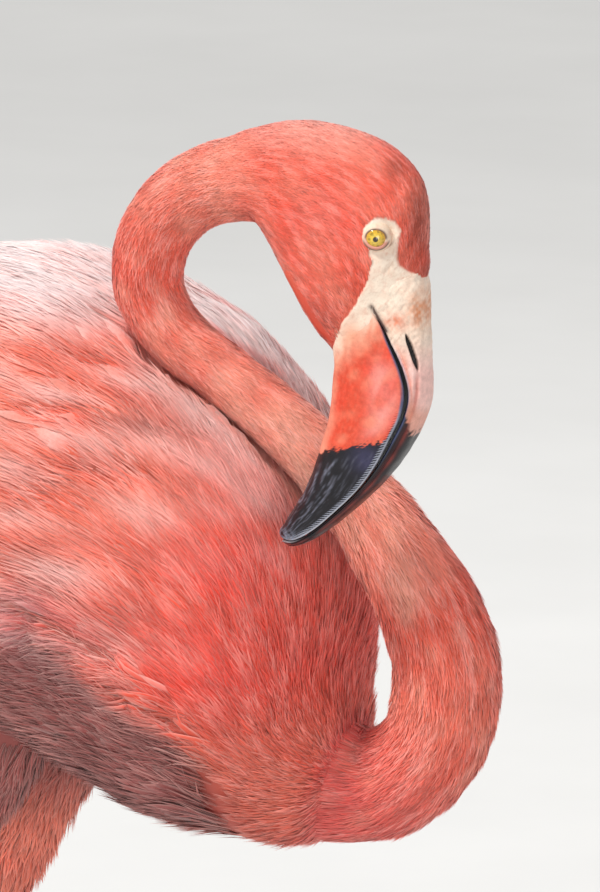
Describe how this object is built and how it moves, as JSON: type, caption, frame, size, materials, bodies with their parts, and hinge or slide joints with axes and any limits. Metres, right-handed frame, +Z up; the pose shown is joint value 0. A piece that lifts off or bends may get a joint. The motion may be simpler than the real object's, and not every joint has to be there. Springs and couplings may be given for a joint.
{
  "type": "flamingo model",
  "caption": "Life-size standing flamingo model, neck folded in an S with the bent bill held beside it, on long legs and webbed feet.",
  "frame": {"origin": "middle of the bounding box, on the floor under the bird", "axes": "+Z up, +X the way the bird faces, +Y its left"},
  "size_m": [0.4762, 0.2018, 0.8411],
  "materials": {
    "plumage": "soft red-pink body feathers",
    "wing_plumage": "soft salmon covert feathers",
    "leg_skin": "dull grey-pink scaled skin",
    "foot_skin": "dull grey-pink webbed skin",
    "bill_upper_horn": "smooth pale horn with a black tip",
    "bill_lower_horn": "smooth orange-red horn with a black tip",
    "eye": "wet yellow eye"
  },
  "bodies": {
    "root": {"trunk": "plumage", "neck_base": "plumage", "neck_lower": "plumage", "neck_shoulder": "plumage", "neck_middle": "plumage", "neck_loop": "plumage", "neck_upper": "plumage", "head": "plumage", "thigh_left": "plumage", "thigh_right": "plumage", "tail": "plumage", "wing_left": "wing_plumage", "wing_right": "wing_plumage", "shin_left": "leg_skin", "shin_right": "leg_skin", "shank_left": "leg_skin", "shank_right": "leg_skin", "foot_left": "foot_skin", "foot_right": "foot_skin", "bill_upper": "bill_upper_horn", "bill_lower": "bill_lower_horn", "eye_left": "eye", "eye_right": "eye"}
  },
  "joints": []
}
